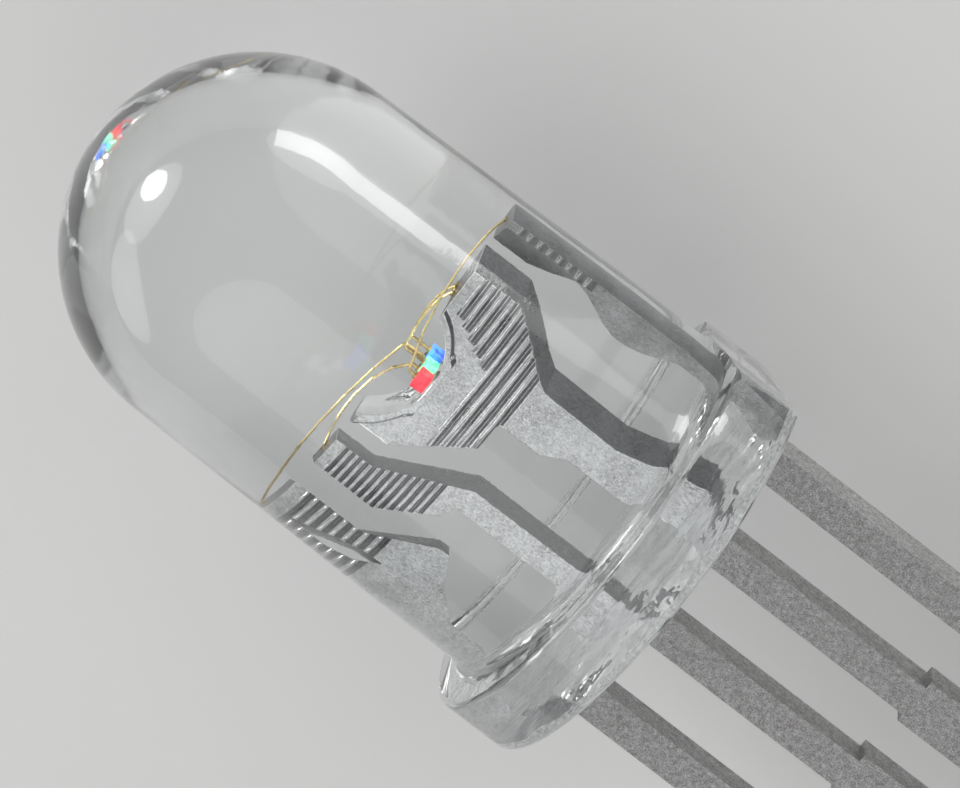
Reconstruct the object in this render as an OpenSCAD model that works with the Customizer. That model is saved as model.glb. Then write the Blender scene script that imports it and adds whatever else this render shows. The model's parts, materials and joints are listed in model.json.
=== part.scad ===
// Through-hole LED with four leads: a clear bullet case cast round a stamped leadframe,
// whose second post carries a reflector cup with three dice and their bond wires.
// Each piece is modelled upright, with the seating face at z = 0, the case's axis on Z, the
// row of leads along X and the ridged faces towards -Y. The whole is then laid on its side,
// as it rests on a table.

/* [Case] */
// Height of the case above its seating face
case_h = 8.58; // [8:0.02:9.4]
// Diameter of the wall where it stands on the flange
body_d = 4.95; // [4.85:0.01:5.1]
// Height of the straight land above the flange
land_h = 1.5; // [0.8:0.1:2.5]
// Diameter of the dome, less than the wall by the mould's draft
dome_d = 4.82; // [4.7:0.01:4.84]
// Diameter of the flange
flange_d = 5.96; // [5.6:0.02:6.3]
// Height of the flange
flange_h = 0.96; // [0.7:0.02:1.3]
// Chamfer round the flange's edges
flange_edge = 0.06; // [0.02:0.01:0.15]
// Radius of the fillet between flange and wall
root_fillet = 0.24; // [0.05:0.01:0.4]
// Distance from the axis to the flat on the flange
flat_reach = 2.53; // [2.5:0.01:2.75]
// Turn of the flat about the axis, from the row of leads
flat_turn = 15; // [-30:1:30]

/* [Leads] */
// Width of a lead across the row
lead_w = 0.45; // [0.4:0.01:0.55]
// Thickness of the stamped strip
lead_t = 0.5; // [0.4:0.01:0.55]
// Spacing of the leads
lead_pitch = 1.27; // [1.2:0.01:1.32]
// Length of lead 1 below the seating face
lead_1_len = 25.4; // [22:0.1:27]
// Length of lead 2, the common one
lead_2_len = 28.4; // [27:0.1:32]
// Length of lead 3
lead_3_len = 26.9; // [22:0.1:27]
// Length of lead 4
lead_4_len = 25.4; // [22:0.1:27]
// Width over the stubs left by the sheared tie bar
stub_w = 0.65; // [0.56:0.01:0.8]
// Height of those stubs along a lead
stub_h = 1; // [0.5:0.1:1.5]
// Distance from the seating face down to the stubs
stub_drop = 3.6; // [2:0.1:6]

/* [Posts] */
// Height of the post tips
post_top = 4.12; // [4:0.02:4.6]
// Gap between neighbouring post heads
post_gap = 0.22; // [0.15:0.01:0.25]
// Width of the head of post 3
head_3_w = 0.27; // [0.24:0.01:0.32]
// Reach of the cup head from the axis towards post 3
head_2_back = 0.545; // [0.52:0.005:0.56]
// Reach of the cup head from the axis towards post 1
head_2_reach = 1.24; // [1.1:0.01:1.3]
// Width of the ridged face of post 1
head_1_w = 0.24; // [0.2:0.01:0.32]
// Width of the bevelled flank beside that face
flank_w = 0.6; // [0.4:0.01:0.6]
// Resin left outside the head of post 1
post_cover = 0.07; // [0.06:0.01:0.12]
// Width of the stem of post 3
stem_3_w = 0.21; // [0.18:0.01:0.32]
// Width of the stem of the cup post
stem_2_w = 0.35; // [0.25:0.01:0.36]
// Step between the cup post's stem and the edge of its lead
stem_2_step = 0.12; // [0.05:0.01:0.15]
// Height at which the posts have widened to their leads
root_low = 0.25; // [0.1:0.05:0.4]
// Height at which the posts have narrowed to their stems
root_high = 0.9; // [0.7:0.05:1.1]
// Height of the anchor knee on posts 1 and 4
knee_z = 2.2; // [2:0.05:2.4]
// Height of the waist under that knee
waist_z = 1.4; // [1.2:0.05:1.6]
// Reach of the knee of post 4 past its lead
knee_4_reach = 0.72; // [0.6:0.01:0.8]
// Reach of the waist of post 4 past its lead
waist_4_reach = 0.25; // [0.15:0.01:0.35]
// Reach of the knee of post 1 past its ridged face
knee_1_reach = 0.42; // [0.2:0.01:0.5]
// Reach of the waist of post 1 past its ridged face
waist_1_reach = 0.12; // [0.05:0.01:0.2]

/* [Knurl] */
// Spacing of the ridges coined across the post heads
knurl_pitch = 0.15; // [0.12:0.01:0.2]
// Spacing of the finer ridges on post 3
fine_pitch = 0.1; // [0.08:0.01:0.15]
// Depth of the grooves between ridges
knurl_depth = 0.035; // [0.02:0.005:0.06]
// Height at which the ridges begin
knurl_low = 2.7; // [2.4:0.02:3]
// Plain metal left between the highest groove and the post tips
knurl_margin = 0.1; // [0.05:0.01:0.3]

/* [Cup] */
// Distance of the cup from the case's axis, towards post 1
cup_x = 0.08; // [0.06:0.01:0.1]
// Diameter of the cup's mouth
cup_mouth_d = 1.26; // [1.18:0.01:1.28]
// Diameter of the cup's floor
cup_floor_d = 0.66; // [0.66:0.01:0.76]
// Depth of the cup
cup_depth = 0.44; // [0.4:0.01:0.52]
// Thickness of the cup's drawn wall
cup_wall = 0.07; // [0.05:0.01:0.1]
// Rise of the drawn wall off the faces of the strip
cup_bulge = 0.06; // [0.03:0.01:0.1]

/* [Dice] */
// Side of a die
die_w = 0.15; // [0.12:0.01:0.16]
// Height of a die
die_h = 0.18; // [0.12:0.01:0.22]
// Spacing of the three dice in their row
die_pitch = 0.195; // [0.19:0.001:0.2]
// Turn of that row from front to back
die_turn = 9; // [0:1:16]
// Thickness of the attach layer under a die
attach_t = 0.02; // [0.01:0.005:0.04]
// Width of the attach layer past each side of a die
attach_lap = 0.01; // [0.002:0.001:0.01]

/* [Bond wires] */
// Diameter of the wire
wire_d = 0.03; // [0.02:0.002:0.036]
// Diameter of the ball on a die
ball_d = 0.07; // [0.05:0.005:0.08]
// Height of the ball
ball_h = 0.03; // [0.02:0.005:0.05]
// Diameter of the stitch on a post
stitch_d = 0.09; // [0.06:0.005:0.12]
// Rise above the ball of the wires that leave it low
low_rise = 0.05; // [0.02:0.01:0.1]
// Rise above the ball of the wires that leave it high
high_rise = 0.24; // [0.2:0.01:0.3]
// Radius of the bend above that rise
wire_bend = 0.05; // [0.03:0.01:0.08]
// Slope at which the wire to post 4 leaves its bend
climb_4 = 22; // [16:1:30]
// Slope of the wire to post 3 there
climb_3 = 62; // [56:1:66]
// Slope of the wire to post 1 there
climb_1 = 30; // [27:1:36]
// Slope of the two wires to the cup head there
tie_climb = 16; // [12:1:24]
// Share of its run at which a wire peaks
peak_share = 0.52; // [0.46:0.01:0.56]
// Distance of the stitches behind the middle of the strip
stitch_back = 0.08; // [0:0.01:0.12]

/* [Hidden] */

eps = 0.01;
cut_size = 2 * flange_d;
// Sides of a wire, and short runs in its bend, its climb and its fall
wire_sides = 8;
bend_steps = 3;
up_steps = 3;
down_steps = 4;

// Case
body_r = body_d / 2;
dome_r = dome_d / 2;
flange_r = flange_d / 2;
dome_z = case_h - dome_r;
land_top = flange_h + land_h;
fillet_steps = 5;

// Leads, numbered from the side of the flat
lead_1_x = 1.5 * lead_pitch;
lead_2_x = 0.5 * lead_pitch;
lead_3_x = -0.5 * lead_pitch;
lead_4_x = -1.5 * lead_pitch;
half_w = lead_w / 2;
half_t = lead_t / 2;
stub_side = (stub_w - lead_w) / 2;
// Corner size of the stamping, in which the small steps of its outlines are counted
corner = 0.2 * lead_t;

// Cup, sunk into the top of post 2
cup_r = cup_mouth_d / 2;
cup_floor_r = cup_floor_d / 2;
cup_floor_z = post_top - cup_depth;
cup_face = half_t + cup_bulge;
// Curve of the wall from floor to mouth, as shares of its run and rise
cup_profile = [[0, 0], [0.16, 0.07], [0.29, 0.17], [0.46, 0.31], [0.63, 0.46], [0.76, 0.61],
    [0.87, 0.77], [0.94, 0.88]];

// Heads, side by side from the cup outwards
head_2_left = -head_2_back;
pad_edge = cup_x + cup_r + cup_wall;
head_3_right = head_2_left - post_gap;
head_3_left = head_3_right - head_3_w;
head_4_right = head_3_left - post_gap;
head_1_right = sqrt(pow(dome_r - post_cover, 2) - pow(half_t, 2));
head_1_left = head_1_right - head_1_w;
flank_left = head_1_left - flank_w;

// Stems and the slanted slots between them
stem_3_right = lead_3_x + half_w;
stem_3_left = stem_3_right - stem_3_w;
stem_2_left = lead_2_x - half_w - stem_2_step;
stem_2_right = stem_2_left + stem_2_w;
slot_top = post_top - 5.2 * corner;
slot_foot = knee_z + 5.2 * corner;
long_ridges_low = slot_foot - 0.7 * corner;
long_ridges_top = long_ridges_low + 3.9 * knurl_pitch;
slit_right = head_4_right - 2 * corner;
slit_left = slit_right - 1.5 * corner;
knee_4 = lead_4_x + half_w + knee_4_reach;
waist_4 = lead_4_x + half_w + waist_4_reach;
knee_1 = head_1_left - knee_1_reach;
waist_1 = head_1_left - waist_1_reach;

// Dice in a row across the cup's floor, the red one nearest the front face
die_z = cup_floor_z + attach_t;
die_top = die_z + die_h;
green_at = [cup_x, 0];
red_at = green_at - die_pitch * [sin(die_turn), cos(die_turn)];
blue_at = green_at + die_pitch * [sin(die_turn), cos(die_turn)];
bond_off = die_w / 4;
green_tie_at = [pad_edge, 0];
blue_tie_at = [pad_edge, 1.3 * stitch_d];
stitch_y = stitch_back;

// Pose on the table: the flange's rim and the inner corners of leads 2 and 3 touch it
edge_2 = lead_2_x - half_w;
edge_3 = lead_3_x - half_w;
reach_2 = lead_2_len + flange_edge;
reach_3 = lead_3_len + flange_edge;
shorter = reach_3 - reach_2;
roll_arm = edge_2 * reach_3 - edge_3 * reach_2;
rest_roll = asin(flange_r * shorter / norm([roll_arm, half_t * shorter]))
    - atan2(half_t * shorter, roll_arm);
rest_tip = atan((flange_r - edge_2 * sin(rest_roll) - half_t * cos(rest_roll)) / reach_2);
flat_half = acos(flat_reach / flange_r);
far_y = flange_r * max(cos(flat_turn + rest_roll + flat_half), cos(flat_turn + rest_roll - flat_half));
tip_y = half_t * cos(rest_roll) - (edge_2 + lead_w) * sin(rest_roll);
high_x = dome_z * cos(rest_tip) + dome_r;
low_x = -tip_y * sin(rest_tip) - lead_2_len * cos(rest_tip);
floor_z = flange_edge * sin(rest_tip) - flange_r * cos(rest_tip);

module laid() {
    translate([-(high_x + low_x) / 2, (far_y - flange_r) / 2, -floor_z])
        rotate([rest_tip - 90, 0, -90]) rotate([0, 0, rest_roll]) children();
}

// Outline of a lead below its seating face, from the tip up on the left
function shank_left(x, len) = [
    [x - half_w, -len],
    [x - half_w, -stub_drop - stub_h],
    [x - half_w - stub_side, -stub_drop - stub_h],
    [x - half_w - stub_side, -stub_drop],
    [x - half_w, -stub_drop],
    [x - half_w, root_low]
];

// The same on the right, from the post down to the tip
function shank_right(x, len) = [
    [x + half_w, root_low],
    [x + half_w, -stub_drop],
    [x + half_w + stub_side, -stub_drop],
    [x + half_w + stub_side, -stub_drop - stub_h],
    [x + half_w, -stub_drop - stub_h],
    [x + half_w, -len]
];

// Strip metal of one outline, standing in the XZ plane
module blank(outline, front = half_t) {
    translate([0, front, 0]) rotate([90, 0, 0])
        linear_extrude(height = front + half_t) polygon(outline);
}

// One V groove coined across the front face at height z
module groove(left, right, z, pitch = knurl_pitch) {
    translate([left, -half_t, z]) rotate([90, 0, 90]) linear_extrude(height = right - left)
        polygon([
            [-eps, 0],
            [knurl_depth, 0.35 * pitch],
            [-eps, 0.75 * pitch]
        ]);
}

// A row of grooves from height `low` to the post tips; their left ends run along a slant
module knurl(left_low, left_top, right, low = knurl_low, pitch = knurl_pitch) {
    count = floor((post_top - knurl_margin - low) / pitch);
    for (i = [0 : count - 1])
        groove(left_low + (left_top - left_low) * i / count, right, low + i * pitch, pitch);
}

// Post 1: a ridged face at the wall, a bevelled flank beside it and an anchor knee below
module lead_1_solid() {
    difference() {
        union() {
            blank(concat(
                shank_left(lead_1_x, lead_1_len),
                [
                    [waist_1, root_high],
                    [waist_1 + 0.1 * corner, waist_z],
                    [knee_1 + 0.7 * corner, knee_z - 3.5 * corner],
                    [knee_1, knee_z - corner],
                    [knee_1, knee_z + corner],
                    [knee_1 + 0.8 * corner, knee_z + 3 * corner],
                    [head_1_left - corner, slot_foot + 1.4 * corner],
                    [head_1_left + 0.3 * corner, slot_foot + 5.2 * corner],
                    [head_1_left + 0.2 * corner, slot_top],
                    [head_1_left, post_top],
                    [head_1_right, post_top],
                    [head_1_right, waist_z]
                ],
                shank_right(lead_1_x, lead_1_len)
            ));
            flank();
        }
        knurl(head_1_left - 0.2 * corner, head_1_left - 0.2 * corner, head_1_right + eps,
            knurl_low + corner);
    }
}

// Bevelled flank of post 1, sloping back from the ridged face towards the cup
module flank() {
    foot = slot_foot + 2 * corner;
    intersection() {
        blank([
            [flank_left, post_top],
            [flank_left, slot_top],
            [flank_left + 0.3 * flank_w, slot_foot + 6 * corner],
            [head_1_left + eps, foot],
            [head_1_right - eps, foot],
            [head_1_right - eps, post_top]
        ]);
        translate([0, 0, slot_foot]) linear_extrude(height = post_top - slot_foot)
            polygon([
                [flank_left - eps, half_t],
                [head_1_right, half_t],
                [head_1_right, -half_t],
                [head_1_left + 0.4 * corner, -half_t],
                [flank_left - eps, 0.4 * half_t]
            ]);
    }
}

// Post 2: the cup head on its stem
module lead_2_solid() {
    neck_left = stem_2_left - 1.2 * corner;
    difference() {
        union() {
            difference() {
                blank(concat(
                    shank_left(lead_2_x, lead_2_len),
                    [
                        [stem_2_left, root_high],
                        [stem_2_left, waist_z + 4 * corner],
                        [neck_left, knee_z - corner],
                        [neck_left, slot_foot - 0.4 * corner],
                        [neck_left - 0.4 * corner, slot_foot],
                        [neck_left - 2.8 * corner, slot_foot],
                        [head_2_left, slot_top],
                        [head_2_left, post_top],
                        [head_2_reach, post_top],
                        [head_2_reach, slot_top - 2 * corner],
                        [stem_2_right + 1.2 * corner, slot_foot],
                        [stem_2_right + 0.2 * corner, slot_foot - 2 * corner],
                        [stem_2_right, waist_z]
                    ],
                    shank_right(lead_2_x, lead_2_len)
                ));
                knurl(pad_edge - 3 * corner, pad_edge + 0.3 * corner, head_2_reach + eps,
                    long_ridges_top);
                for (i = [0 : 3])
                    groove(head_2_left, head_2_reach, long_ridges_low + i * knurl_pitch);
            }
            cup_shell();
        }
        translate([cup_x, 0, cup_floor_z]) cup_bowl(0);
    }
}

// Bowl of the cup, grown outwards by the wall for the drawn shell
module cup_bowl(grow) {
    lip = cup_depth + (grow > 0 ? 0 : eps);
    rotate_extrude() polygon(concat(
        [[0, -grow]],
        [for (p = cup_profile)
            [cup_floor_r + p[0] * (cup_r - cup_floor_r) + grow, p[1] * cup_depth - (p[1] > 0 ? 0 : grow)]],
        [[cup_r + grow, lip], [0, lip]]
    ));
}

// Drawn wall of the cup, cut off flat where it breaks out of the strip's two faces
module cup_shell() {
    intersection() {
        translate([cup_x, 0, cup_floor_z]) cup_bowl(cup_wall);
        translate([-cut_size / 2, -cup_face, 0]) cube([cut_size, 2 * cup_face, cut_size]);
    }
}

// Post 3: a head that steps in beside the cup
module lead_3_solid() {
    difference() {
        blank(concat(
            shank_left(lead_3_x, lead_3_len),
            [
                [stem_3_left, root_high],
                [stem_3_left, knee_z + 2.5 * corner],
                [stem_3_left - 1.2 * corner, knee_z + 3 * corner],
                [head_3_left, slot_foot + 5 * corner],
                [head_3_left, post_top],
                [head_3_right, post_top],
                [head_3_right, slot_top - 0.3 * corner],
                [stem_3_right, knee_z + 2 * corner]
            ],
            shank_right(lead_3_x, lead_3_len)
        ));
        knurl(head_3_left - eps, head_3_left - eps, stem_3_right, knurl_low, fine_pitch);
    }
}

// Post 4: a wide head with a slit, then a knee that locks it in the resin
module lead_4_solid() {
    outer = lead_4_x - half_w;
    difference() {
        blank(concat(
            shank_left(lead_4_x, lead_4_len),
            [
                [outer, post_top],
                [head_4_right, post_top],
                [head_4_right, slot_foot + 3.8 * corner],
                [knee_4, knee_z + 0.5 * corner],
                [knee_4, knee_z - 0.8 * corner],
                [(knee_4 + waist_4) / 2, knee_z - 3 * corner],
                [waist_4, waist_z + corner],
                [waist_4, waist_z - 4 * corner]
            ],
            shank_right(lead_4_x, lead_4_len)
        ));
        knurl(outer - eps, outer - eps, knee_4, knurl_low + 0.5 * corner);
        translate([0, half_t + eps, 0]) rotate([90, 0, 0]) linear_extrude(height = lead_t + 2 * eps)
            polygon([
                [slit_left, slot_top + 2.5 * corner],
                [slit_left, slot_top - 3 * corner],
                [slit_right - 0.7 * corner, slot_foot + 2 * corner],
                [slit_right + 0.8 * corner, slot_foot - corner],
                [slit_right + 0.7 * corner, slot_foot + 2 * corner],
                [slit_right, slot_top - 3 * corner]
            ]);
    }
}

// Attach layer and die, each standing square on the cup's floor
module attach_solid(at) {
    side = die_w + 2 * attach_lap;
    translate([at[0] - side / 2, at[1] - side / 2, cup_floor_z]) cube([side, side, attach_t]);
}

module die_solid(at) {
    translate([at[0] - die_w / 2, at[1] - die_w / 2, die_z]) cube([die_w, die_w, die_h]);
}

// Wire swept along a path in the XZ plane, with a mitred ring of points at each of its bends
module wire_sweep(path) {
    last = len(path) - 1;
    rings = [for (i = [0 : last])
        let (
            run_in = path[max(i, 1)] - path[max(i, 1) - 1],
            run_out = path[min(i + 1, last)] - path[min(i, last - 1)],
            ahead = run_in / norm(run_in),
            mean = ahead + run_out / norm(run_out),
            side = [-mean[1], mean[0]] * wire_d / 2 / (mean * ahead)
        )
        for (k = [0.5 : wire_sides])
            let (turn = 360 * k / wire_sides)
            [path[i][0] + side[0] * cos(turn), wire_d / 2 * sin(turn),
                path[i][1] + side[1] * cos(turn)]];
    polyhedron(rings, concat(
        [[for (k = [wire_sides - 1 : -1 : 0]) k]],
        [for (i = [0 : last - 1]) for (k = [0 : wire_sides - 1])
            let (a = i * wire_sides, b = a + wire_sides, next = (k + 1) % wire_sides)
            [a + k, a + next, b + next, b + k]],
        [[for (k = [0 : wire_sides - 1]) last * wire_sides + k]]
    ));
}

// A bond wire: ball on the die, straight rise, tight bend, a loop of two arcs that meet level
// at its peak, and the stitch on the post
module wire_solid(at, to, rise, climb) {
    run = norm(to - at);
    bend_z = ball_h + rise;
    px = wire_bend * (1 - sin(climb));
    pz = bend_z + wire_bend * cos(climb);
    peak_x = px + peak_share * (run - px);
    up_r = (peak_x - px) / sin(climb);
    peak_z = pz + up_r * (1 - cos(climb));
    drop = peak_z - (post_top - die_top + wire_d / 2);
    fall = 2 * atan2(drop, run - peak_x);
    down_r = (run - peak_x) / sin(fall);
    path = concat(
        [[0, ball_h / 2]],
        [for (i = [0 : bend_steps - 1]) let (a = (90 - climb) * i / bend_steps)
            [wire_bend * (1 - cos(a)), bend_z + wire_bend * sin(a)]],
        [for (i = [up_steps : -1 : 0]) let (a = climb * i / up_steps)
            [peak_x - up_r * sin(a), peak_z - up_r * (1 - cos(a))]],
        [for (i = [1 : down_steps]) let (a = fall * i / down_steps)
            [peak_x + down_r * sin(a), peak_z - down_r * (1 - cos(a))]]
    );
    translate([at[0], at[1], die_top])
        rotate([0, 0, atan2(to[1] - at[1], to[0] - at[0])]) {
            cylinder(h = ball_h, d = ball_d, $fn = 24);
            wire_sweep(path);
            translate([run, 0, post_top - die_top])
                cylinder(h = wire_d, d = stitch_d, $fn = 24);
        }
}

module wire_red_solid() {
    wire_solid(red_at, [head_1_left - 2 * corner, stitch_y], low_rise, climb_1);
}

module wire_green_solid() {
    wire_solid(green_at - [bond_off, 0], [(head_3_left + head_3_right) / 2, stitch_y],
        low_rise, climb_3);
}

module wire_blue_solid() {
    wire_solid(blue_at - [bond_off, 0], [slit_left, stitch_y], high_rise, climb_4);
}

module wire_green_common_solid() {
    wire_solid(green_at + [bond_off, 0], green_tie_at, high_rise, tie_climb);
}

module wire_blue_common_solid() {
    wire_solid(blue_at + [bond_off, 0], blue_tie_at, high_rise, tie_climb);
}

// Clear case without its hollows: flange, land, drafted wall and dome
module case_shell() {
    translate([0, 0, dome_z]) difference() {
        sphere(r = dome_r, $fn = 96);
        translate([-cut_size / 2, -cut_size / 2, -cut_size]) cube([cut_size, cut_size, cut_size]);
    }
    translate([0, 0, land_top]) cylinder(h = dome_z - land_top, r1 = body_r, r2 = dome_r, $fn = 96);
    cylinder(h = land_top, r = body_r, $fn = 96);
    difference() {
        rotate_extrude($fn = 96) polygon(concat(
            [
                [0, 0],
                [flange_r - flange_edge, 0],
                [flange_r, flange_edge],
                [flange_r, flange_h - flange_edge],
                [flange_r - flange_edge, flange_h]
            ],
            [for (i = [0 : fillet_steps])
                [body_r + root_fillet * (1 - sin(90 * i / fillet_steps)),
                 flange_h + root_fillet * (1 - cos(90 * i / fillet_steps))]],
            [[0, flange_h + root_fillet]]
        ));
        rotate([0, 0, flat_turn]) translate([flat_reach, -cut_size / 2, -eps])
            cube([cut_size, cut_size, flange_h + root_fillet + 2 * eps]);
    }
}

module leads_solid() {
    lead_1_solid();
    lead_2_solid();
    lead_3_solid();
    lead_4_solid();
}

module chips_solid() {
    for (at = [red_at, green_at, blue_at]) {
        attach_solid(at);
        die_solid(at);
    }
    wire_red_solid();
    wire_green_solid();
    wire_blue_solid();
    wire_green_common_solid();
    wire_blue_common_solid();
}

module case() {
    color([0.86, 0.9, 0.92, 0.3]) laid() difference() {
        case_shell();
        leads_solid();
        chips_solid();
    }
}

module lead_1() { color([0.62, 0.63, 0.64]) laid() lead_1_solid(); }
module lead_2() { color([0.62, 0.63, 0.64]) laid() lead_2_solid(); }
module lead_3() { color([0.62, 0.63, 0.64]) laid() lead_3_solid(); }
module lead_4() { color([0.62, 0.63, 0.64]) laid() lead_4_solid(); }
module attach_red() { color([0.75, 0.75, 0.72]) laid() attach_solid(red_at); }
module attach_green() { color([0.8, 0.78, 0.7]) laid() attach_solid(green_at); }
module attach_blue() { color([0.8, 0.78, 0.7]) laid() attach_solid(blue_at); }
module die_red() { color([0.85, 0.1, 0.15]) laid() die_solid(red_at); }
module die_green() { color([0.3, 0.95, 0.6]) laid() die_solid(green_at); }
module die_blue() { color([0.2, 0.4, 0.95]) laid() die_solid(blue_at); }
module wire_red() { color([0.83, 0.68, 0.3]) laid() wire_red_solid(); }
module wire_green() { color([0.83, 0.68, 0.3]) laid() wire_green_solid(); }
module wire_blue() { color([0.83, 0.68, 0.3]) laid() wire_blue_solid(); }
module wire_green_common() { color([0.83, 0.68, 0.3]) laid() wire_green_common_solid(); }
module wire_blue_common() { color([0.83, 0.68, 0.3]) laid() wire_blue_common_solid(); }

case();
lead_1();
lead_2();
lead_3();
lead_4();
attach_red();
attach_green();
attach_blue();
die_red();
die_green();
die_blue();
wire_red();
wire_green();
wire_blue();
wire_green_common();
wire_blue_common();
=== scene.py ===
import bpy, bmesh, json, math
from mathutils import Vector, Matrix, noise


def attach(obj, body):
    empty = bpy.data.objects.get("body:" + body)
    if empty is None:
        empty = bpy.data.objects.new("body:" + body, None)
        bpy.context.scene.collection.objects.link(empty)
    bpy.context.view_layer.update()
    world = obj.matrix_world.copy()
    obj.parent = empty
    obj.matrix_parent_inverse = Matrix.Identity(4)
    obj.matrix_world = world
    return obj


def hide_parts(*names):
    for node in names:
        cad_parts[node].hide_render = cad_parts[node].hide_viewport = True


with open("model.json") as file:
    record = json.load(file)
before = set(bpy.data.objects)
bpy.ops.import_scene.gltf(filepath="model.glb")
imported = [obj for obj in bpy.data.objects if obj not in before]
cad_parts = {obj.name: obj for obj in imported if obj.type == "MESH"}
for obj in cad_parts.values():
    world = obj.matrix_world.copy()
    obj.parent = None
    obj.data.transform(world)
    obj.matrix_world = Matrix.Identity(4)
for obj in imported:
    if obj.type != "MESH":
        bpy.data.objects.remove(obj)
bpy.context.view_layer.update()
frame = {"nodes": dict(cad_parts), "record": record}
print("stage: frame loaded,", len(frame["nodes"]), "nodes")

# The LED's own frame, in millimetres: origin in the middle of the seating face, x along the
# row towards lead 1, z towards the dome; the posts' ridged front faces look towards -y
mounts = {m["name"]: m for m in frame["record"]["mounts"]}
seat = Vector(mounts["seating_face"]["pos_m"])
upAxis = -Vector(mounts["seating_face"]["axis"])
rowAxis = (Vector(mounts["lead_1_pin"]["pos_m"]) - Vector(mounts["lead_4_pin"]["pos_m"])).normalized()
backAxis = upAxis.cross(rowAxis)
ledTurn = Matrix((rowAxis, backAxis, upAxis)).transposed()
ledToRow = Matrix.Translation(seat) @ ledTurn.to_4x4() @ Matrix.Scale(0.001, 4)
rowToLed = ledToRow.inverted()


def linked(name, mesh, materials):
    obj = bpy.data.objects.new(name, mesh)
    bpy.context.scene.collection.objects.link(obj)
    for m in materials:
        mesh.materials.append(m)
    return obj


# Shared pieces of node trees
def newMaterial(name):
    mat = bpy.data.materials.new(name)
    mat.use_nodes = True
    return mat, mat.node_tree, mat.node_tree.nodes["Principled BSDF"]


def addNode(tree, kind, inputs=None, **settings):
    node = tree.nodes.new(kind)
    for key, value in settings.items():
        setattr(node, key, value)
    for key, value in (inputs or {}).items():
        if isinstance(value, bpy.types.NodeSocket):
            tree.links.new(value, node.inputs[key])
        else:
            node.inputs[key].default_value = value
    return node


def mathOf(tree, operation, *values):
    return addNode(tree, "ShaderNodeMath", dict(enumerate(values)), operation=operation).outputs[0]


def grey(tree, level):
    return addNode(tree, "ShaderNodeCombineColor", {0: level, 1: level, 2: level}).outputs[0]


def inMillimetres(tree, turn=(0, 0, 0), stretch=(1, 1, 1)):
    coords = addNode(tree, "ShaderNodeTexCoord")
    mapped = addNode(tree, "ShaderNodeMapping", {"Vector": coords.outputs["Object"],
                                                 "Scale": tuple(1000 * s for s in stretch)})
    mapped.inputs["Rotation"].default_value = turn
    return mapped.outputs["Vector"]


def noiseAt(tree, vector, scale, detail=4, rough=0.6):
    return addNode(tree, "ShaderNodeTexNoise", {"Vector": vector, "Scale": scale, "Detail": detail,
                                                "Roughness": rough}).outputs["Fac"]


def spread(tree, value, low, high, toLow, toHigh, how="LINEAR"):
    return addNode(tree, "ShaderNodeMapRange", {"Value": value, "From Min": low, "From Max": high,
                                                "To Min": toLow, "To Max": toHigh},
                   interpolation_type=how).outputs["Result"]


def blended(tree, factor, first, second, how="MIX"):
    node = addNode(tree, "ShaderNodeMix", data_type="RGBA", blend_type=how)
    for socket, value in ((node.inputs[0], factor), (node.inputs[6], first), (node.inputs[7], second)):
        if isinstance(value, bpy.types.NodeSocket):
            tree.links.new(value, socket)
        else:
            socket.default_value = value
    return node.outputs[2]


def bumped(tree, shader, height, strength, depthMm, under=None):
    bump = addNode(tree, "ShaderNodeBump", {"Height": height, "Strength": strength,
                                            "Distance": depthMm / 1000})
    if under:
        tree.links.new(under, bump.inputs["Normal"])
    tree.links.new(bump.outputs["Normal"], shader.inputs["Normal"])
    return bump.outputs["Normal"]


# A surface point's place along one of the LED's axes, in millimetres
def alongLed(tree, axis):
    coords = addNode(tree, "ShaderNodeTexCoord")
    dot = addNode(tree, "ShaderNodeVectorMath", {0: coords.outputs["Object"], 1: tuple(axis * 1000)},
                  operation="DOT_PRODUCT")
    return mathOf(tree, "SUBTRACT", dot.outputs["Value"], seat.dot(axis) * 1000)


# Tin plate: bright and brushed where the resin seals it, dull and pitted on the bare leads
tinLook = {
    "insideColour": (0.82, 0.83, 0.84, 1),
    "insideDark": (0.36, 0.36, 0.365, 1),
    "outsideColour": (0.66, 0.66, 0.67, 1),
    "outsideDark": (0.27, 0.262, 0.255, 1),
    "paintedCutShade": (0.42, 0.42, 0.43, 1),   # painted shade for grooves and sheared sides, against the front faces
    "grainMm": 0.019, "lumpShare": 0.28, "cellShare": 0.8, "patchesPerMm": 2.4,
    "brushMm": 0.02, "brushLength": 9, "brushTurn": 20,
    "insideRough": 0.3, "outsideRough": 0.42,
    "insideReliefMm": 0.004, "outsideReliefMm": 0.014,
    "sealHeight": 0.1, "sealBlend": 0.2,   # height above the seat at which the resin closes
}


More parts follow.
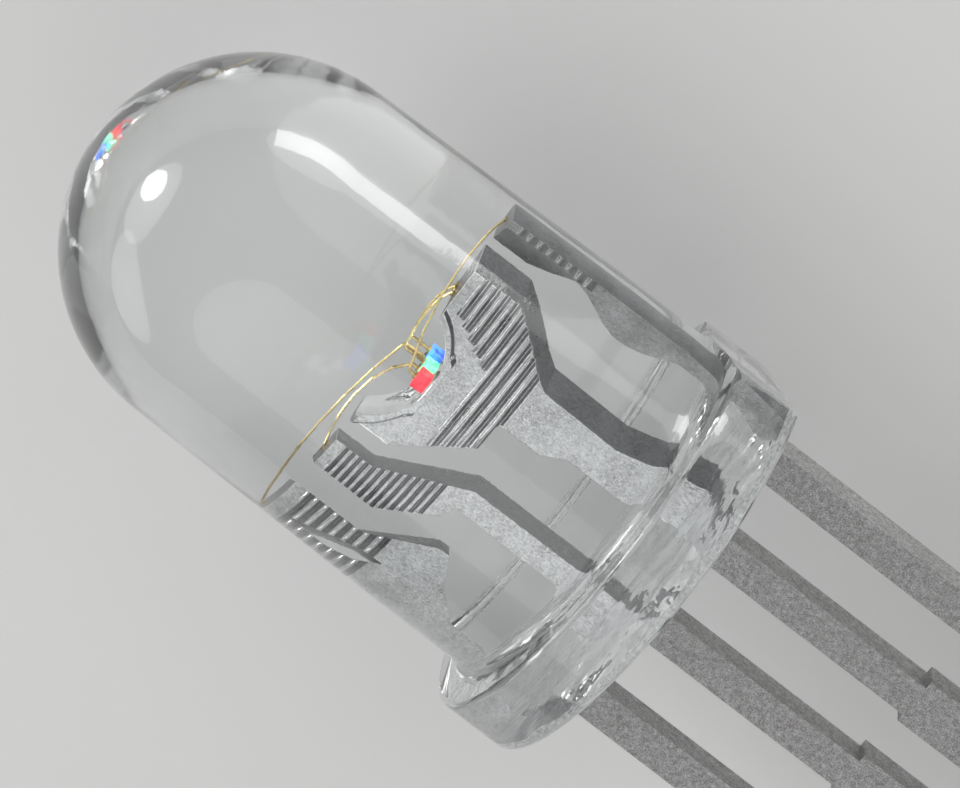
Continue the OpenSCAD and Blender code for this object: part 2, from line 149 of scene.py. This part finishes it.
def tinPlate(name):
    mat, tree, shader = newMaterial(name)
    look = tinLook
    place = inMillimetres(tree)
    grain = noiseAt(tree, place, 1 / look["grainMm"], 4, 0.7)
    lumps = noiseAt(tree, place, look["lumpShare"] / look["grainMm"], 3, 0.6)
    cells = addNode(tree, "ShaderNodeTexVoronoi",
                    {"Vector": place, "Scale": look["cellShare"] / look["grainMm"]},
                    feature="F1").outputs["Distance"]
    brushed = inMillimetres(tree, (0, math.radians(look["brushTurn"]), 0),
                            (1, look["brushLength"], look["brushLength"]))
    brush = noiseAt(tree, brushed, 0.3 / look["brushMm"], 3, 0.6)
    patches = noiseAt(tree, place, look["patchesPerMm"], 3, 0.55)
    seal, blend = look["sealHeight"], look["sealBlend"]
    inside = spread(tree, alongLed(tree, upAxis), seal - blend, seal + blend, 0, 1)
    # how much of each spot is bright crystal face: fine outside, in broad soft patches inside
    crystals = mathOf(tree, "ADD", mathOf(tree, "MULTIPLY", grain, 0.65),
                      mathOf(tree, "MULTIPLY", lumps, 0.35))
    outer = blended(tree, spread(tree, crystals, 0.42, 0.62, 0, 1),
                    look["outsideDark"], look["outsideColour"])
    worn = mathOf(tree, "ADD", mathOf(tree, "MULTIPLY", patches, 0.2),
                  mathOf(tree, "MULTIPLY", brush, 0.35))
    worn = mathOf(tree, "ADD", worn, mathOf(tree, "MULTIPLY", crystals, 0.45))
    inner = blended(tree, spread(tree, worn, 0.42, 0.58, 0, 1), look["insideDark"], look["insideColour"])
    # painted shade: grooves and sheared sides are darkened by how far their normal turns from the faces
    # that look forwards
    geometry = addNode(tree, "ShaderNodeNewGeometry")
    facing = addNode(tree, "ShaderNodeVectorMath",
                     {0: geometry.outputs["True Normal"], 1: tuple(-backAxis)},
                     operation="DOT_PRODUCT").outputs["Value"]
    inner = blended(tree, spread(tree, facing, 0.8, 0.97, 1, 0), inner,
                    blended(tree, 1, inner, look["paintedCutShade"], "MULTIPLY"))
    tree.links.new(blended(tree, inside, outer, inner), shader.inputs["Base Color"])
    shader.inputs["Metallic"].default_value = 1
    rough = spread(tree, inside, 0, 1, look["outsideRough"], look["insideRough"])
    rough = mathOf(tree, "ADD", rough, spread(tree, patches, 0.3, 0.7, -0.06, 0.1))
    tree.links.new(rough, shader.inputs["Roughness"])
    pits = mathOf(tree, "MULTIPLY", spread(tree, cells, 0.1, 0.5, 1, 0),
                  spread(tree, lumps, 0.45, 0.6, 0, 1))
    rugged = mathOf(tree, "SUBTRACT", grain, mathOf(tree, "MULTIPLY", pits, 0.7))
    outerRelief = mathOf(tree, "MULTIPLY", rugged,
                         spread(tree, inside, 0, 1, look["outsideReliefMm"], 0))
    fine = mathOf(tree, "ADD", brush, mathOf(tree, "MULTIPLY", grain, 0.6))
    innerRelief = mathOf(tree, "MULTIPLY", fine, spread(tree, inside, 0, 1, 0, look["insideReliefMm"]))
    bumped(tree, shader, mathOf(tree, "ADD", outerRelief, innerRelief), 1.0, 1.0)
    return mat


# Bright metal of the drawn cup, and brighter tin on coined crests and sheared edges that partly paints
# their highlights
brightLook = {
    "coinedTinAndEdgeHighlight": {"level": 0.97, "rough": 0.16, "perMm": 30, "depthMm": 0.002},
    "cupSilver": {"level": 0.95, "rough": 0.03, "perMm": 6, "depthMm": 0.012},
}


def brightMetal(name):
    mat, tree, shader = newMaterial(name)
    look = brightLook[name]
    level, rough = look["level"], look["rough"]
    streaks = noiseAt(tree, inMillimetres(tree), look["perMm"], 3, 0.55)
    shader.inputs["Metallic"].default_value = 1
    tree.links.new(grey(tree, spread(tree, streaks, 0.3, 0.7, level - 0.14, level)),
                   shader.inputs["Base Color"])
    tree.links.new(spread(tree, streaks, 0.3, 0.7, rough, rough + 0.12), shader.inputs["Roughness"])
    bumped(tree, shader, streaks, 0.6, look["depthMm"])
    return mat


# Clear epoxy
epoxyLook = {
    "bends": 1.52,
    "tint": (0.955, 0.97, 0.968, 1),
    "shadowTint": (0.52, 0.54, 0.545, 1),   # what each wall lets through of direct light
    "glaze": 0.35, "glazeRough": 0.17,      # faint haze of handling, which softens the lamps
    "castTint": (0.9, 0.91, 0.91, 1), "castClear": 0.6, "specksPerMm": 11,
    "wallRough": 0.012, "castRough": 0.4, "pourRough": 0.06,
    # waves of each surface: how many to a millimetre, detail, strength, depth in millimetres
    "wallWaves": [(0.8, 2, 0.25, 0.02), (14, 3, 0.12, 0.003)],
    "castWaves": [(2.2, 3, 0.9, 0.12), (13, 4, 1.0, 0.04)],
    "pourWaves": [(1.6, 3, 0.8, 0.09), (7, 3, 0.4, 0.01)],
}


def clearEpoxy(name, kind, frosted=False):
    mat, tree, shader = newMaterial(name)
    look = epoxyLook
    shader.inputs["Base Color"].default_value = look["castTint" if frosted else "tint"]
    shader.inputs["Transmission Weight"].default_value = 1
    shader.inputs["IOR"].default_value = look["bends"]
    shader.inputs["Roughness"].default_value = look[kind + "Rough"]
    place = inMillimetres(tree)
    if frosted:
        specks = noiseAt(tree, place, look["specksPerMm"], 4, 0.7)
        tree.links.new(spread(tree, specks, 0.42, 0.6, 1, look["castClear"]),
                       shader.inputs["Transmission Weight"])
    else:
        shader.inputs["Coat Weight"].default_value = look["glaze"]
        shader.inputs["Coat Roughness"].default_value = look["glazeRough"]
    normal = None
    for perMm, detail, strength, depthMm in look[kind + "Waves"]:
        wave = noiseAt(tree, place, perMm, detail, 0.55)
        normal = bumped(tree, shader, wave, strength, depthMm, normal)
    path = addNode(tree, "ShaderNodeLightPath")
    through = addNode(tree, "ShaderNodeBsdfTransparent", {"Color": look["shadowTint"]})
    mix = addNode(tree, "ShaderNodeMixShader", {0: path.outputs["Is Shadow Ray"], 1: shader.outputs[0],
                                                2: through.outputs[0]})
    tree.links.new(mix.outputs[0], tree.nodes["Material Output"].inputs["Surface"])
    return mat


# Faintly lit dice: cloudy between a deep and a clear tone of their colour
dieLook = {
    "redDie": {"colour": (1.0, 0.06, 0.08, 1), "deep": (0.45, 0.0, 0.02, 1), "glow": 1.15},
    "greenDie": {"colour": (0.3, 1.0, 0.66, 1), "deep": (0.01, 0.42, 0.14, 1), "glow": 1.4},
    "blueDie": {"colour": (0.1, 0.4, 1.0, 1), "deep": (0.01, 0.03, 0.6, 1), "glow": 1.8},
}
dieCloudsPerMm = 9
dieRough = 0.15


def dieMaterial(name):
    mat, tree, shader = newMaterial(name)
    look = dieLook[name]
    cloud = noiseAt(tree, inMillimetres(tree), dieCloudsPerMm, 2, 0.5)
    tone = blended(tree, spread(tree, cloud, 0.35, 0.6, 0.15, 1), look["deep"], look["colour"])
    shader.inputs["Base Color"].default_value = look["deep"]
    tree.links.new(tone, shader.inputs["Emission Color"])
    shader.inputs["Emission Strength"].default_value = look["glow"]
    shader.inputs["Roughness"].default_value = dieRough
    return mat


# Bond wire and the pastes that hold the dice
metalLook = {
    "goldWire": {"colour": (0.68, 0.53, 0.24, 1), "rough": 0.22, "perMm": 40, "depthMm": 0.001},
    "silverPaste": {"colour": (0.72, 0.72, 0.7, 1), "rough": 0.5, "perMm": 60, "depthMm": 0.003},
    "clearPaste": {"colour": (0.7, 0.68, 0.6, 1), "rough": 0.4, "perMm": 60, "depthMm": 0.002},
}
dullShare = 0.7


def plainMetal(name):
    mat, tree, shader = newMaterial(name)
    look = metalLook[name]
    grain = noiseAt(tree, inMillimetres(tree), look["perMm"], 2, 0.5)
    dull = tuple(dullShare * c for c in look["colour"][:3]) + (1,)
    tree.links.new(blended(tree, spread(tree, grain, 0.35, 0.65, 0, 1), dull, look["colour"]),
                   shader.inputs["Base Color"])
    shader.inputs["Metallic"].default_value = 1
    shader.inputs["Roughness"].default_value = look["rough"]
    bumped(tree, shader, grain, 0.3, look["depthMm"])
    return mat


tin = tinPlate("stampedTin")
crestAndEdgeHighlightTin = brightMetal("coinedTinAndEdgeHighlight")
silver = brightMetal("cupSilver")
resinWall = clearEpoxy("resinWall", "wall")
resinCast = clearEpoxy("resinCastRim", "cast", frosted=True)
resinPour = clearEpoxy("resinPourFace", "pour")
redDie, greenDie, blueDie = (dieMaterial(n) for n in ("redDie", "greenDie", "blueDie"))
gold, silverPaste, clearPaste = (plainMetal(n) for n in ("goldWire", "silverPaste", "clearPaste"))
print("stage: materials made")

# Clear case: one closed skin of revolution with a flat on the flange
caseSize = {
    "flangeRadius": 2.98, "flangeTop": 0.96, "edgeRound": 0.09,
    "wallRadius": 2.475, "rootFillet": 0.24, "landTop": 2.46,
    "domeRadius": 2.41, "caseHeight": 8.58,
    "flatReach": 2.53, "flatTurn": 15,      # degrees from the row of leads
    "rimWidth": 0.2, "sinkDepth": 0.26,      # the poured face sinks inside a narrow rim
    "ripple": 0.035, "rippleMm": 0.4,
    "around": 224, "domeSteps": 56, "sinkSteps": 26,
    "smoothSteps": 22,                       # of these, the ones that poured smooth
}


def arc(cx, cz, r, start, end, steps):
    angles = [math.radians(start + (end - start) * i / steps) for i in range(steps + 1)]
    return [(cx + r * math.cos(a), cz + r * math.sin(a)) for a in angles]


def straight(x0, z0, x1, z1, steps):
    return [(x0 + (x1 - x0) * k / steps, z0 + (z1 - z0) * k / steps) for k in range(1, steps + 1)]


def caseProfile():
    s = caseSize
    e, outer, wall, dome = s["edgeRound"], s["flangeRadius"], s["wallRadius"], s["domeRadius"]
    inner = outer - s["rimWidth"]
    top, root = s["flangeTop"], s["flangeTop"] + s["rootFillet"]
    domeZ = s["caseHeight"] - dome
    shares = [i / s["sinkSteps"] for i in range(1, s["sinkSteps"] + 1)]
    profile = [(inner * t, s["sinkDepth"] * (1 - t ** 2.6)) for t in shares]
    profile += arc(outer - e, e, e, -90, 0, 6)
    profile += straight(outer, e, outer, top - e, 6)[:-1]
    profile += arc(outer - e, top - e, e, 0, 90, 6)
    profile += arc(wall + s["rootFillet"], root, s["rootFillet"], 270, 180, 8)
    profile += straight(wall, root, wall, s["landTop"], 8)
    profile += straight(wall, s["landTop"], dome, domeZ, 20)
    profile += arc(0, domeZ, dome, 0, 90, s["domeSteps"])[1:-1]
    return profile


def casePoint(r, z, angle):
    s = caseSize
    off = math.cos(angle - math.radians(s["flatTurn"]))
    if z < s["flangeTop"] + s["rootFillet"] + 0.001 and off > 0.5:
        r = min(r, s["flatReach"] / off)
    x, y = r * math.cos(angle), r * math.sin(angle)
    clear = s["flangeRadius"] - s["rimWidth"] - r
    if z < s["sinkDepth"] + 0.001 and clear > 0:
        z += s["ripple"] * noise.noise(Vector((x, y, 0)) / s["rippleMm"]) * min(1, clear / 0.3)
    return x, y, z


def buildCase():
    s = caseSize
    n = s["around"]
    bm = bmesh.new()
    rows = [[bm.verts.new(casePoint(r, z, 2 * math.pi * k / n)) for k in range(n)]
            for r, z in caseProfile()]
    bottom = bm.verts.new((0, 0, s["sinkDepth"]))
    top = bm.verts.new((0, 0, s["caseHeight"]))
    for k in range(n):
        after = (k + 1) % n
        bm.faces.new((bottom, rows[0][after], rows[0][k])).material_index = 2
        bm.faces.new((top, rows[-1][k], rows[-1][after]))
        for j in range(len(rows) - 1):
            face = bm.faces.new((rows[j][k], rows[j][after], rows[j + 1][after], rows[j + 1][k]))
            if j < s["sinkSteps"]:
                face.material_index = 2 if j < s["smoothSteps"] else 1
    for f in bm.faces:
        f.smooth = True
    bmesh.ops.recalc_face_normals(bm, faces=bm.faces)
    bm.transform(ledToRow)
    mesh = bpy.data.meshes.new("clearCase")
    bm.to_mesh(mesh)
    bm.free()
    return linked("clearCase", mesh, [resinWall, resinCast, resinPour])


clearCase = buildCase()
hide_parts("case")
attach(clearCase, "root")
print("stage: clear case,", len(clearCase.data.polygons), "faces")

# Leads: the CAD strips with their sheared edges broken and given brighter tin as a painted highlight,
# and the cup silvered
leadFinish = {
    "edgeRadius": 0.018, "edgeAngle": 38, "flatAngle": 0.6,
    "cupX": 0.08, "cupRadius": 0.645, "cupFloor": 3.66, "floorBand": 0.03,
    "halfThick": 0.25,
}


def buildLead(node):
    look = leadFinish
    bm = bmesh.new()
    bm.from_mesh(frame["nodes"][node].data)      # a copy: the CAD node stays as it is
    bmesh.ops.remove_doubles(bm, verts=bm.verts, dist=1e-7)
    bmesh.ops.dissolve_limit(bm, angle_limit=math.radians(look["flatAngle"]),
                             verts=bm.verts, edges=bm.edges)
    mesh = bpy.data.meshes.new("dressed_" + node)
    bm.to_mesh(mesh)
    bm.free()
    obj = linked("dressed_" + node, mesh, [tin, silver, crestAndEdgeHighlightTin])
    bevel = obj.modifiers.new("edge", "BEVEL")
    bevel.width = look["edgeRadius"] / 1000
    bevel.segments = 2
    bevel.limit_method = "ANGLE"
    bevel.angle_limit = math.radians(look["edgeAngle"])
    bevel.use_clamp_overlap = True
    # the bevel faces take the brighter tin: a painted highlight along the broken edges
    bevel.material = 2
    bpy.context.view_layer.update()
    done = bpy.data.meshes.new_from_object(obj.evaluated_get(bpy.context.evaluated_depsgraph_get()))
    obj.modifiers.clear()
    obj.data = done
    bm = bmesh.new()
    bm.from_mesh(done)
    for f in bm.faces:
        p = rowToLed @ f.calc_center_median()
        f.smooth = False
        if p.z < tinLook["sealHeight"]:
            f.material_index = 0
        inCup = math.hypot(p.x - look["cupX"], p.y) < look["cupRadius"] and p.z > look["cupFloor"]
        if node == "lead_2" and inCup:
            outward = Vector((p.x - look["cupX"], p.y, 0)).dot(ledTurn.inverted() @ f.normal)
            if outward < -1e-6 or p.z < look["cupFloor"] + look["floorBand"]:
                f.material_index = 1
                f.smooth = True
    bm.to_mesh(done)
    bm.free()
    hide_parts(node)
    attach(obj, "root")
    return obj


for n in ("lead_1", "lead_2", "lead_3", "lead_4"):
    piece = buildLead(n)
    print("stage:", piece.name, len(piece.data.polygons), "faces")

# Crests: the burr that coining raises on each ridge across a post's front face
crests = {
    # post: lowest groove, spacing, count, left end of the lowest and of the highest row
    "lead_1": (2.8, 0.15, 8, None, None),
    "lead_2": (3.235, 0.15, 5, 0.48, 0.81),
    "lead_2_long": (2.65, 0.15, 4, None, None),
    "lead_3": (2.7, 0.1, 13, None, None),
    "lead_4": (2.75, 0.15, 8, None, None),
}
crestForm = {
    "crest height": 0.014, "crest width": 0.26,      # millimetres, share of the spacing
    "size spread": 0.3, "tilt spread": 1.2, "seed": 7,
    "shortest": 0.03, "land": 0.875, "inset": 0.015,
    "onFace": 0.002, "bridge": 0.001,                # how near counts as on the face, or as joined
}


# Where the metal reaches at height z in the plane of the front face, as spans of x
def frontSpans(node, z):
    face, near = -leadFinish["halfThick"], crestForm["onFace"]
    bm = bmesh.new()
    bm.from_mesh(frame["nodes"][node].data)
    bm.transform(rowToLed)
    cut = bmesh.ops.bisect_plane(bm, geom=bm.verts[:] + bm.edges[:] + bm.faces[:], dist=1e-6,
                                 plane_co=(0, 0, z), plane_no=(0, 0, 1))
    spans = []
    for e in cut["geom_cut"]:
        if isinstance(e, bmesh.types.BMEdge):
            a, b = (v.co for v in e.verts)
            if abs(a.y - face) < near and abs(b.y - face) < near:
                spans.append((min(a.x, b.x), max(a.x, b.x)))
    bm.free()
    joined = []
    for lo, hi in sorted(spans):
        if joined and lo < joined[-1][1] + crestForm["bridge"]:
            joined[-1][1] = max(hi, joined[-1][1])
        else:
            joined.append([lo, hi])
    return joined


def crestTree():
    tree = bpy.data.node_groups.new("coinedCrests", "GeometryNodeTree")
    face = tree.interface
    face.new_socket("Geometry", in_out="INPUT", socket_type="NodeSocketGeometry")
    for name in ("crest height", "crest width", "size spread", "tilt spread"):
        face.new_socket(name, in_out="INPUT", socket_type="NodeSocketFloat")
    face.new_socket("seed", in_out="INPUT", socket_type="NodeSocketInt")
    face.new_socket("finish", in_out="INPUT", socket_type="NodeSocketMaterial")
    face.new_socket("Geometry", in_out="OUTPUT", socket_type="NodeSocketGeometry")
    given = addNode(tree, "NodeGroupInput").outputs
    bar = addNode(tree, "GeometryNodeMeshCylinder",
                  {"Vertices": 8, "Side Segments": 3, "Radius": 1.0, "Depth": 1.0})
    laid = addNode(tree, "GeometryNodeTransform", {"Geometry": bar.outputs["Mesh"],
                                                   "Rotation": (0, math.radians(90), 0)})
    span, width = (addNode(tree, "GeometryNodeInputNamedAttribute", {"Name": n},
                           data_type="FLOAT").outputs["Attribute"] for n in ("span", "spacing"))
    size = addNode(tree, "FunctionNodeRandomValue", {2: 0.0, 3: 1.0, "Seed": given["seed"]},
                   data_type="FLOAT").outputs[1]
    lean = addNode(tree, "FunctionNodeRandomValue", {2: -1.0, 3: 1.0, "Seed": given["seed"]},
                   data_type="FLOAT").outputs[1]
    factor = mathOf(tree, "SUBTRACT", 1.0, mathOf(tree, "MULTIPLY", size, given["size spread"]))
    high = mathOf(tree, "MULTIPLY", given["crest height"], factor)
    half = mathOf(tree, "MULTIPLY", factor, 0.5)
    wide = mathOf(tree, "MULTIPLY", mathOf(tree, "MULTIPLY", width, given["crest width"]), half)
    scale = addNode(tree, "ShaderNodeCombineXYZ", {"X": span, "Y": high, "Z": wide})
    tilt = mathOf(tree, "MULTIPLY", mathOf(tree, "RADIANS", given["tilt spread"]), lean)
    turn = addNode(tree, "ShaderNodeCombineXYZ", {"Y": tilt})
    placed = addNode(tree, "GeometryNodeInstanceOnPoints",
                     {"Points": given["Geometry"], "Instance": laid.outputs["Geometry"],
                      "Rotation": turn.outputs[0], "Scale": scale.outputs[0]})
    real = addNode(tree, "GeometryNodeRealizeInstances", {"Geometry": placed.outputs["Instances"]})
    finish = addNode(tree, "GeometryNodeSetMaterial",
                     {"Geometry": real.outputs["Geometry"], "Material": given["finish"]})
    out = addNode(tree, "NodeGroupOutput")
    tree.links.new(finish.outputs["Geometry"], out.inputs["Geometry"])
    return tree


def buildCrests():
    form = crestForm
    points, spans, spacings = [], [], []
    for post, (low, spacing, count, leftLow, leftTop) in crests.items():
        for i in range(count):
            z = low + (i + form["land"]) * spacing
            limit = -9 if leftLow is None else leftLow + (leftTop - leftLow) * i / count
            for lo, hi in frontSpans(post[:6], z):
                lo, hi = max(lo, limit) + form["inset"], hi - form["inset"]
                if hi - lo > form["shortest"]:
                    points.append(((lo + hi) / 2, -leadFinish["halfThick"], z))
                    spans.append(hi - lo)
                    spacings.append(spacing)
    mesh = bpy.data.meshes.new("coinedCrests")
    mesh.from_pydata(points, [], [])
    for name, values in (("span", spans), ("spacing", spacings)):
        mesh.attributes.new(name, "FLOAT", "POINT").data.foreach_set("value", values)
    # the crests take the brighter tin, which partly paints their highlight
    obj = linked("coinedCrests", mesh, [crestAndEdgeHighlightTin])
    tree = crestTree()
    grow = obj.modifiers.new("crests", "NODES")
    grow.node_group = tree
    for item in tree.interface.items_tree:
        if item.in_out == "INPUT" and item.name in form:
            grow[item.identifier] = form[item.name]
        if item.in_out == "INPUT" and item.name == "finish":
            grow[item.identifier] = crestAndEdgeHighlightTin
    bpy.context.view_layer.update()
    done = bpy.data.meshes.new_from_object(obj.evaluated_get(bpy.context.evaluated_depsgraph_get()))
    obj.modifiers.clear()
    obj.data = done
    done.transform(ledToRow)
    for p in done.polygons:
        p.use_smooth = True
    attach(obj, "root")
    return obj, len(points)


crestPiece, crestCount = buildCrests()
print("stage: crests,", crestCount, "ridges,", len(crestPiece.data.polygons), "faces")

# Dice, attach layers and wires keep their CAD shapes
finishes = {
    "die_red": redDie, "die_green": greenDie, "die_blue": blueDie,
    "attach_red": silverPaste, "attach_green": clearPaste, "attach_blue": clearPaste,
    "wire_red": gold, "wire_green": gold, "wire_blue": gold,
    "wire_green_common": gold, "wire_blue_common": gold,
}
for name, mat in finishes.items():
    node = frame["nodes"][name]
    if not node.material_slots:
        node.data.materials.append(mat)
    for s in node.material_slots:
        s.material = mat
print("stage: dice and wires finished")

# Camera at the photograph's angle
photoView = {
    "turn": 19.5, "rise": 12.6, "roll": 37.5,   # degrees, in the LED's own frame
    "pixelsPerMm": 82.5, "originPixel": (652.4, 554.2), "frame": (960, 788),
    "distance": 0.3, "sensor": 36, "clip": (0.01, 5),
}


def inRow(x, y, z):
    return ledTurn @ Vector((x, y, z))


turnA, riseA, rollA = (math.radians(photoView[k]) for k in ("turn", "rise", "roll"))
sinT, cosT, sinR, cosR = math.sin(turnA), math.cos(turnA), math.sin(riseA), math.cos(riseA)
toCamera = inRow(sinT * cosR, -cosT * cosR, sinR)
across = inRow(cosT, sinT, 0)
along = inRow(-sinT * sinR, cosT * sinR, cosR)
imageRight = across * math.sin(rollA) - along * math.cos(rollA)
imageUp = across * math.cos(rollA) + along * math.sin(rollA)
metresPerPixel = 0.001 / photoView["pixelsPerMm"]
wide, high = photoView["frame"]
viewCentre = (seat + imageRight * (wide / 2 - photoView["originPixel"][0]) * metresPerPixel
              - imageUp * (high / 2 - photoView["originPixel"][1]) * metresPerPixel)

camData = bpy.data.cameras.new("camera")
camera = bpy.data.objects.new("camera", camData)
bpy.context.scene.collection.objects.link(camera)
camData.sensor_width = photoView["sensor"]
camData.lens = photoView["sensor"] * photoView["distance"] / (wide * metresPerPixel)
camData.clip_start, camData.clip_end = photoView["clip"]
place = Matrix((imageRight, imageUp, toCamera)).transposed().to_4x4()
place.translation = viewCentre + toCamera * photoView["distance"]
camera.matrix_world = place
bpy.context.scene.camera = camera

# Table, world and lamps
studio = {
    "tableColour": (0.8, 0.8, 0.79, 1), "tableRough": 0.7, "tableSize": 1.2,
    "worldLow": 0.16, "worldHigh": 0.5,      # at the horizon and overhead
    "bounces": 11, "through": 10, "gloss": 4, "clear": 12,
}
reach = studio["tableSize"] / 2
table = bpy.data.meshes.new("table")
corners = [(-reach, -reach, 0), (reach, -reach, 0), (reach, reach, 0), (-reach, reach, 0)]
table.from_pydata(corners, [], [(0, 1, 2, 3)])
tableMat, tree, shader = newMaterial("tableTop")
shader.inputs["Base Color"].default_value = studio["tableColour"]
shader.inputs["Roughness"].default_value = studio["tableRough"]
tableTop = linked("tableTop", table, [tableMat])

world = bpy.data.worlds.new("studio")
bpy.context.scene.world = world
world.use_nodes = True
tree = world.node_tree
coords = addNode(tree, "ShaderNodeTexCoord")
split = addNode(tree, "ShaderNodeSeparateXYZ", {0: coords.outputs["Generated"]})
level = spread(tree, split.outputs["Z"], 0.0, 0.8, studio["worldLow"], studio["worldHigh"])
tree.links.new(level, tree.nodes["Background"].inputs["Strength"])
tree.nodes["Background"].inputs["Color"].default_value = (1, 1, 1, 1)

# Each lamp: heading and lift in degrees as seen from the LED, distance and size in metres,
# and how bright its face is. The low ones give the long soft glints on the dome
lamps = {
    "overheadDisc": {"heading": 125, "lift": 58, "far": 0.26, "size": (0.30, 0.30),
                     "bright": 0.85, "shape": "ELLIPSE"},
    "glintCore": {"heading": 4, "lift": 10, "far": 0.12, "size": (0.034, 0.03),
                  "bright": 9.0, "shape": "ELLIPSE"},
    "glintGlow": {"heading": 10, "lift": 14, "far": 0.14, "size": (0.11, 0.06),
                  "bright": 2.0, "shape": "ELLIPSE"},
    "backStrip": {"heading": -79.6, "lift": 7, "far": 0.12, "size": (0.092, 0.026),
                  "bright": 6.5, "shape": "RECTANGLE"},
    "backGlow": {"heading": -80, "lift": 9, "far": 0.135, "size": (0.125, 0.075),
                 "bright": 1.7, "shape": "ELLIPSE"},
    "leftStrip": {"heading": 52, "lift": 12, "far": 0.13, "size": (0.12, 0.05),
                  "bright": 1.8, "shape": "ELLIPSE"},
}
lowLamps = {"below": 20, "beam": 120}     # degrees; their beam stays off the table beside them
for name, lamp in lamps.items():
    data = bpy.data.lights.new(name, "AREA")
    data.shape = lamp["shape"]
    data.size, data.size_y = lamp["size"]
    full = 1 if lamp["shape"] == "RECTANGLE" else math.pi / 4
    data.energy = lamp["bright"] * math.pi * full * data.size * data.size_y
    if lamp["lift"] < lowLamps["below"]:
        data.spread = math.radians(lowLamps["beam"])
        data.energy *= 1 - data.spread / 2 / math.tan(data.spread / 2)   # a narrow beam is denser
    obj = bpy.data.objects.new(name, data)
    bpy.context.scene.collection.objects.link(obj)
    heading, lift = math.radians(lamp["heading"]), math.radians(lamp["lift"])
    away = Vector((math.cos(heading) * math.cos(lift), math.sin(heading) * math.cos(lift),
                   math.sin(lift)))
    obj.location = viewCentre + away * lamp["far"]
    obj.rotation_euler = away.to_track_quat("Z", "Y").to_euler()
    obj.visible_camera = False

scene = bpy.context.scene
scene.view_settings.view_transform = "Standard"
scene.cycles.max_bounces = studio["bounces"]
scene.cycles.transmission_bounces = studio["through"]
scene.cycles.glossy_bounces = studio["gloss"]
scene.cycles.transparent_max_bounces = studio["clear"]
print("stage: studio and camera")
